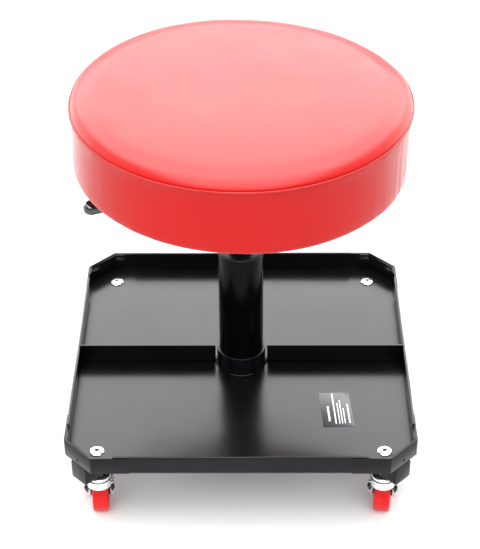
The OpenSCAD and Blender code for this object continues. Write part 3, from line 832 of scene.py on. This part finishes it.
def tray_sheet():
    """Floor and four folded walls as one bent sheet, with a hem rolled in along the middle of each wall."""
    flat = WALL_OUT - BEND_R
    cells = 4
    spans = 40
    corner_line = [flat - (flat - SIDE_HALF) * k / cells for k in range(cells)]
    middle_line = [SIDE_HALF - 2 * SIDE_HALF * k / spans for k in range(spans + 1)]
    line = corner_line + middle_line + [-c for c in reversed(corner_line)]
    n = len(line)
    verts, faces, index = [], [], {}

    def vert(co):
        key = tuple(round(c * 1e6) for c in co)
        if key not in index:
            index[key] = len(verts)
            verts.append(Vector(co))
        return index[key]

    def floor_vert(i, j):
        return vert((line[i], line[j], TRAY_Z + tray_warp(line[i], line[j])))

    def from_corner(i):
        return min(i, n - 1 - i)

    for i in range(n - 1):
        for j in range(n - 1):
            quad = [(i, j), (i, j + 1), (i + 1, j + 1), (i + 1, j)]
            kept = [c for c in quad if from_corner(c[0]) + from_corner(c[1]) >= cells]
            if len(kept) > 2:
                faces.append([floor_vert(*c) for c in kept])

    bend = [(flat + BEND_R * math.sin(a), TRAY_Z + BEND_R * (1 - math.cos(a)))
            for a in (math.radians(90 * k / 5) for k in range(1, 6))]
    wall_top = RIM_Z - HEM_FOLD_R
    wall = [(WALL_OUT, TRAY_Z + BEND_R + (wall_top - TRAY_Z - BEND_R) * k / 4) for k in range(1, 5)]
    hem = arc(WALL_OUT - HEM_FOLD_R, wall_top, HEM_FOLD_R, 30, 180, 5)
    hem += [(WALL_OUT - 2 * HEM_FOLD_R, wall_top - drop * MM) for drop in (2, 6.5)]
    # columns at each end of a wall that have no hem
    plain = 3
    for quarter in range(4):
        turn = Matrix.Rotation(math.pi / 2 * quarter, 4, "Z")
        columns = []
        for k, s in enumerate(middle_line):
            hemmed = plain <= k <= spans - plain
            column = [Vector((flat, s, TRAY_Z + tray_warp(flat, s)))]
            for out, z in bend + wall + (hem if hemmed else []):
                rise = smooth(TRAY_Z, RIM_Z, z)
                sway = noise.noise(Vector((s * 8, quarter * 3.7, 1))) * 0.9 * MM * rise
                column.append(Vector((out + min(0.4 * MM, sway), s, z)))
            columns.append([vert(turn @ c) for c in column])
        for a, b in zip(columns, columns[1:]):
            for k in range(min(len(a), len(b)) - 1):
                faces.append([a[k], b[k], b[k + 1], a[k + 1]])
    ob = Form().add((verts, faces)).make("tray_sheet", "black_powder_coat", "root", "tray_pan")
    face_down(ob)
    solid = ob.modifiers.new("thickness", "SOLIDIFY")
    solid.thickness = SHEET
    solid.offset = -1
    solid.use_even_offset = True
    bevel(ob, 0.25 * MM, 2, 50)


def face_down(ob):
    """Turns an open sheet so that the floor's faces look down and the walls' look out."""
    bm = bmesh.new()
    bm.from_mesh(ob.data)
    bm.faces.ensure_lookup_table()
    floor_face = min(bm.faces, key=lambda f: (f.calc_center_median() - Vector((0.1, 0.1, TRAY_Z))).length)
    if floor_face.normal.z > 0:
        bmesh.ops.reverse_faces(bm, faces=bm.faces)
    bm.to_mesh(ob.data)
    bm.free()
    shade(ob.data)


def strip(path, thickness):
    """Closed outline of a bent strip: the path on its outer side, and the same path moved in."""
    outer = [Vector((p[0], p[1])) for p in path]
    inner = []
    for i, p in enumerate(outer):
        before = p - outer[i - 1] if i else outer[1] - p
        after = outer[i + 1] - p if i < len(outer) - 1 else before
        inner.append(mitred(p, before, after, thickness))
    return outer + list(reversed(inner))


def corner_wraps():
    """Thin plates that close the cut corners and lap round outside the walls, each over an inner tab."""
    lap = 43 * MM
    skin = 0.8 * MM
    top = RIM_Z - 1.3 * MM
    for corner in CORNERS:
        turn = corner_turn(corner) @ Matrix.Rotation(-math.pi / 4, 4, "Z")
        path = rounded([(HALF_W, SIDE_HALF - lap), (HALF_W, SIDE_HALF), (SIDE_HALF, HALF_W),
                        (SIDE_HALF - lap, HALF_W)], 2 * MM, closed=False)
        wrap = prism(strip(path, skin), TRAY_Z + 0.5 * MM, top, 0.2 * MM, 2)
        back = HALF_W - skin - 0.05 * MM
        knee = SIDE_HALF + 1.2 * MM
        far, near, end = back - SHEET, knee - SHEET, knee - 14 * MM
        tab_path = rounded([(far, end), (far, near), (near, far), (end, far)], 1.2 * MM, closed=False)
        tab = prism(strip(tab_path, SHEET), FLOOR_Z + 0.1 * MM, top - 1 * MM, 0.2 * MM, 2)
        Form().add(wrap, turn).add(tab, turn).make(
            "corner_wrap_" + corner, "black_powder_coat", "root", "corner_plate_" + corner)


def spot_weld(form, matrix):
    """Shallow ring with a sunken middle, facing along its own +Z."""
    profile = [(0, -0.45), (0.8, -0.4), (1.2, 0.1), (1.6, 0.35), (2.0, 0.3), (2.5, -0.2), (2.5, -0.6),
               (0, -0.6)]
    form.add(lathe([(r * MM, z * MM) for r, z in profile], 24), matrix)


def spot_welds():
    """Welds of the wraps: two on each cut face and two on each lap."""
    form = Form()
    face_out = Matrix.Rotation(math.pi / 2, 4, "Y")
    for corner, (sx, sy) in CORNERS.items():
        turn = corner_turn(corner)
        mirror = -sx * sy
        for across, rise in ((15.5, 19.2), (0.7, 5.8)):
            place = Matrix.Translation((CORNER_R, mirror * across * MM, TRAY_Z + rise * MM)) @ face_out
            spot_weld(form, turn @ place)
        for side in (0, 1):
            to_side = Matrix.Rotation(math.atan2(sy, 0) if side else math.atan2(0, sx), 4, "Z")
            sign = mirror if side else -mirror
            for across, rise in ((36.5, 19.6), (33.5, 6)):
                along = sign * (SIDE_HALF - across * MM)
                place = Matrix.Translation((HALF_W, along, TRAY_Z + rise * MM)) @ face_out
                spot_weld(form, to_side @ place)
    form.make("spot_welds", "black_powder_coat", "root", sharp=60)


def dividers():
    """Upright plates across the middle of the tray, each with a foot flange bent to the back and a tab
    against the side wall."""
    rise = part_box("divider_right")[1].z
    for side in (-1, 1):
        node = "divider_right" if side > 0 else "divider_left"
        lo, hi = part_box(node)
        half_t = SHEET / 2
        foot = rounded([(-half_t, rise), (-half_t, FLOOR_Z), (half_t + 10 * MM, FLOOR_Z)], 2 * MM,
                       closed=False)
        profile = strip([(p.x, p.y) for p in foot], SHEET)
        stand = Matrix.Rotation(math.pi / 2, 4, "Z") @ Matrix.Rotation(math.pi / 2, 4, "X")
        form = Form()
        form.add(prism(profile, lo.x + 0.1 * MM, hi.x - 0.1 * MM, 0.25 * MM, 2), stand)
        tab_x = hi.x if side > 0 else lo.x
        tab = prism([(0, half_t), (SHEET, half_t), (SHEET, 10 * MM), (0, 10 * MM)], FLOOR_Z + 3 * MM,
                    rise - 9 * MM, 0.3 * MM, 2)
        form.add(tab, Matrix.Translation((tab_x - (SHEET if side > 0 else 0), 0, 0)))
        form.make("divider_plate_" + ("right" if side > 0 else "left"), "black_powder_coat", "root", node)


NUT_HEIGHT = 2.8 * MM


def over_pivot(corner, z):
    """Places a shape on a caster's swivel axis, at this height."""
    sx, sy = CORNERS[corner]
    return Matrix.Translation((sx * PIVOT, sy * PIVOT, z))


def nut_heads():
    """Domed sleeve nuts with a hexagon socket and a small notch in the rim."""
    r = 8.5 * MM
    rim = 0.8 * MM
    socket = 3.0 * MM
    barrel = 5 * MM
    sector = math.pi / 3
    form = Form()
    for corner, (sx, _) in CORNERS.items():
        notch = math.radians(-36 if sx < 0 else 216)

        def shape(a, radius, z):
            if radius < 4 * MM:
                return math.cos(sector / 2) / math.cos((a % sector) - sector / 2)
            away = abs((a - notch + math.pi) % (math.tau) - math.pi)
            deep = 0.2 * (1 - smooth(0.1, 0.2, away)) if radius > 6.4 * MM and z >= 0 else 0
            return 1 - deep
        dome = [(r * math.cos(t), rim + (NUT_HEIGHT - rim) * math.sin(t))
                for t in (math.radians(6 * k) for k in range(0, 11))]
        dome = [p for p in dome if p[0] > socket + 0.5 * MM]
        profile = [(0, -20 * MM), (barrel, -20 * MM), (barrel, 0.0), (r - 0.2 * MM, 0.0), (r, 0.25 * MM)]
        profile += dome
        profile += [(socket + 0.3 * MM, NUT_HEIGHT - 0.05 * MM), (socket, NUT_HEIGHT - 0.4 * MM),
                    (socket, -3 * MM), (0, -4 * MM)]
        form.add(lathe(profile, squash=shape), over_pivot(corner, FLOOR_Z))
    form.make("nut_heads", "zinc", "root", "sleeve_nuts")


def nut_socket_shade():
    """Dark plugs of painted shade down in the hexagon sockets."""
    r = 2.7 * MM
    profile = [(0, 0.2 * MM), (r, 0.2 * MM), (r, NUT_HEIGHT - 0.7 * MM), (0, NUT_HEIGHT - 0.9 * MM)]
    form = Form()
    for corner in CORNERS:
        form.add(lathe(profile, 24), over_pivot(corner, FLOOR_Z))
    # the dark plugs are painted shade in the sockets
    form.make("nut_socket_shade", "black_enamel", "root")


def floor_label():
    """A label stuck on the tray floor, printed with plain bars only."""
    centre = Matrix.Translation((112 * MM, -91 * MM, FLOOR_Z)) @ Matrix.Rotation(math.radians(3.4), 4, "Z")
    sheet = prism(rounded(oblong(18 * MM, 30.5 * MM), 1.2 * MM), 0.05 * MM, 0.3 * MM, 0.08 * MM, 2)
    Form().add(sheet, centre).make("floor_label", "label_film", "root", "tray_label")
    # each bar's corner and size, in millimetres from the label's middle
    low = -25.6
    bars = [(-3.3, low, 1.6, 54.3), (1.2, low, 1.2, 36.6), (4.4, low, 1.2, 41.6), (7.6, low, 1.2, 26.6),
            (12.8, low, 1.6, 34.6)]
    bars += [(-10.8, -21 + 4.6 * k, 2.2 + 0.5 * (k % 2), 3.6) for k in range(6)]
    form = Form()
    for x, y, length, height in bars:
        corners = [(x * MM, y * MM), ((x + length) * MM, y * MM), ((x + length) * MM, (y + height) * MM),
                   (x * MM, (y + height) * MM)]
        form.add(prism(corners, 0.28 * MM, 0.36 * MM, 0.02 * MM, 1), centre)
    form.make("label_bars", "label_print", "root")


# ---- casters ----

def caster_turn(corner):
    """How far a caster is turned from trailing along +Y, from where its wheel lies in the frame."""
    lo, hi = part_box("tyre_" + corner)
    sx, sy = CORNERS[corner]
    away = Vector(((lo.x + hi.x) / 2 - sx * PIVOT, (lo.y + hi.y) / 2 - sy * PIVOT))
    return math.atan2(away.y, away.x) - math.pi / 2


def at_caster(corner, z=0.0):
    """Places a shape drawn for a caster that trails along +Y on its swivel axis, turned as it rests."""
    return over_pivot(corner, z) @ Matrix.Rotation(caster_turn(corner), 4, "Z")


def swivel_heads():
    """Threaded stud, hexagon and domed upper raceway of each caster, with its riveted kingpin."""
    top = arm_lo.z
    rim_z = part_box("fork_fr")[1].z
    head_r = 14.6 * MM
    hex_r = 8.6 * MM
    base = rim_z + 0.6 * MM
    dome_top = top - 3.5 * MM
    stud_r, stud_top = 4 * MM, top + 22 * MM
    stud = [(0, top - 1 * MM), (stud_r, top - 1 * MM), (stud_r, stud_top - 1 * MM),
            (stud_r - 0.6 * MM, stud_top), (0, stud_top)]
    for corner in CORNERS:
        profile = [(0, base + 1.9 * MM), (head_r - 2.4 * MM, base + 1.9 * MM), (head_r - 1.5 * MM, base)]
        profile += arc(head_r - 0.5 * MM, base + 0.5 * MM, 0.5 * MM, -90, 0, 3)
        profile += arc(head_r - 2.6 * MM, base + 2.2 * MM, 2.6 * MM, 0, 55, 4)
        profile += [(hex_r, dome_top - 0.2 * MM), (7 * MM, dome_top), (0, dome_top)]
        place = at_caster(corner)
        form = Form().add(lathe(profile, 96), place)
        nut = [(hex_r * math.cos(a), hex_r * math.sin(a)) for a in (math.pi / 3 * k for k in range(6))]
        form.add(prism(rounded(nut, 0.5 * MM, steps=2), dome_top, top, 0.5 * MM, 2), place)
        form.add(lathe(stud, 32), place)
        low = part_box("caster_stem_" + corner)[0].z
        rivet = [(0, low), (3.6 * MM, low + 0.1 * MM), (4.7 * MM, low + 0.9 * MM), (5 * MM, low + 2.1 * MM),
                 (3 * MM, low + 2.2 * MM), (3 * MM, dome_top - 1 * MM), (0, dome_top - 1 * MM)]
        form.add(lathe(rivet, 48), place)
        form.make("swivel_head_" + corner, "zinc", "root", "caster_stem_" + corner)


def wheel_axis(corner):
    """Places a shape drawn about +Z on a caster's wheel axle."""
    lo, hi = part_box("tyre_" + corner)
    centre = (lo + hi) / 2
    return (Matrix.Translation(centre) @ Matrix.Rotation(caster_turn(corner), 4, "Z")
            @ Matrix.Rotation(math.pi / 2, 4, "Y"))


def treads():
    """Cast polyurethane treads with rounded shoulders and a fine parting line."""
    r, half, hub_r, edge = 25 * MM, 9.5 * MM, 15 * MM, 3 * MM
    for corner in CORNERS:
        profile = [(hub_r, -half + 0.9 * MM), (hub_r + 1.4 * MM, -half + 0.25 * MM),
                   (hub_r + 3 * MM, -half)]
        profile += arc(r - edge, -half + edge, edge, -90, 0, 8)
        profile += [(r, -0.35 * MM), (r - 0.14 * MM, -0.1 * MM), (r - 0.14 * MM, 0.1 * MM), (r, 0.35 * MM)]
        profile += arc(r - edge, half - edge, edge, 0, 90, 8)
        profile += [(hub_r + 3 * MM, half), (hub_r + 1.4 * MM, half - 0.25 * MM), (hub_r, half - 0.9 * MM)]
        Form().add(lathe(profile, 96), wheel_axis(corner)).make(
            "tread_" + corner, "red_wheel", "wheel_" + corner, "tyre_" + corner)


def painted_leg_shade():
    """Dark hooked strips on the front edges of each fork's legs: painted shade, where those zinc edges look
    dark.
    """
    edge_at = Vector((0, -9 * MM, 62 * MM))
    down = Vector((0, 0.438, -0.899))
    back = Vector((0, 0.899, 0.438))
    frame_at = Matrix()
    for row in range(3):
        frame_at[row][1], frame_at[row][2], frame_at[row][3] = down[row], back[row], edge_at[row]
    # outline of the right hook in millimetres, across the fork and down its front edge
    hook = [(10.2, 8.6), (17.4, 8.6), (17.6, 13), (16.8, 19), (15.2, 25), (13.7, 27.5), (13.5, 24),
            (13.0, 19), (12.1, 15), (10.9, 12)]
    for corner in CORNERS:
        stand = at_caster(corner) @ frame_at
        form = Form()
        for side in (-1, 1):
            outline = [(side * x * MM, y * MM) for x, y in (hook if side > 0 else reversed(hook))]
            form.add(prism(rounded(outline, 0.4 * MM, steps=2), -1.7 * MM, -0.3 * MM, 0.3 * MM, 2), stand)
        # the black hooks are painted shade on the legs' front edges
        form.make("painted_leg_shade_" + corner, "black_enamel", "caster_" + corner)


# ---- studio ----

def floor():
    """White floor."""
    s = Shader("studio_floor", (0.86, 0.86, 0.855), 0.55, Specular_IOR_Level=0.2)
    s.wear(0.5, 0.6, 3, 2)
    mesh = bpy.data.meshes.new("studio_floor")
    half = 6.0
    mesh.from_pydata([(x, y, 0) for x, y in oblong(half, half)], [], [[0, 1, 2, 3]])
    mesh.materials.append(s.material)
    ob = bpy.data.objects.new("studio_floor", mesh)
    bpy.context.scene.collection.objects.link(ob)


def softbox(name, place, target, width, height, radiance, diffuse=True):
    """A soft lamp aimed at a point; without diffuse it shows only in reflections."""
    light = bpy.data.lights.new(name, "AREA")
    light.shape = "RECTANGLE"
    light.size = width
    light.size_y = height
    light.energy = radiance * math.pi * width * height
    ob = bpy.data.objects.new(name, light)
    ob.location = place
    ob.rotation_euler = (Vector(target) - Vector(place)).to_track_quat("-Z", "Y").to_euler()
    ob.visible_diffuse = diffuse
    bpy.context.scene.collection.objects.link(ob)


def studio():
    """Even white surroundings and softboxes."""
    world = bpy.data.worlds.new("studio")
    world.use_nodes = True
    background = world.node_tree.nodes["Background"].inputs
    background["Color"].default_value = (0.98, 0.98, 1.0, 1)
    background["Strength"].default_value = 0.45
    bpy.context.scene.world = world
    softbox("back_softbox", (0, 1.75, 2.1), (0, 0, 0.3), 3.4, 2.7, 9.5, diffuse=False)
    softbox("overhead_glow", (0, -0.2, 3.0), (0, -0.1, 0.3), 3.6, 3.6, 8.0, diffuse=False)
    softbox("left_glow", (-2.1, 1.7, 0.9), (0, 0, 0.4), 2.0, 2.0, 6.0, diffuse=False)
    softbox("right_glow", (2.1, 1.7, 0.9), (0, 0, 0.4), 2.0, 2.0, 6.0, diffuse=False)
    softbox("top_softbox", (0, -0.3, 2.6), (0, -0.2, 0), 2.4, 2.2, 4.5)
    softbox("front_softbox", (0, -2.1, 2.2), (0, -0.1, 0), 3.4, 1.8, 4.0)
    softbox("left_softbox", (-2.2, -0.3, 1.2), (0, 0, 0.3), 1.6, 1.6, 2.0)
    softbox("right_softbox", (2.2, -0.3, 1.2), (0, 0, 0.3), 1.6, 1.6, 1.2)


def camera():
    """Looks down on the seat from the front, a little right of its middle. Place, turn and lens were fitted
    to the photo's outlines."""
    data = bpy.data.cameras.new("camera")
    data.sensor_width = 36
    data.lens = 100.87
    ob = bpy.data.objects.new("camera", data)
    ob.matrix_world = (Matrix.Translation((0.0131, -1.4675, 1.2898))
                       @ Matrix.Rotation(math.radians(0.55), 4, "Z")
                       @ Matrix.Rotation(math.radians(54.21), 4, "X")
                       @ Matrix.Rotation(math.radians(-0.41), 4, "Z"))
    bpy.context.scene.collection.objects.link(ob)
    bpy.context.scene.camera = ob
    bpy.context.scene.view_settings.view_transform = "Standard"


# ---- the whole ----

camera()
floor()
studio()

seat_cover()
seat_piping()
seat_stitches()
seat_hem()
seat_staples()
height_lever()
lever_paddle()

column_shell()
column_collar()
bush_lip()
sleeve_welds()

frame_arms()
tray_sheet()
corner_wraps()
spot_welds()
dividers()
nut_heads()
nut_socket_shade()
floor_label()

swivel_heads()
treads()
painted_leg_shade()
dress_cad_nodes()
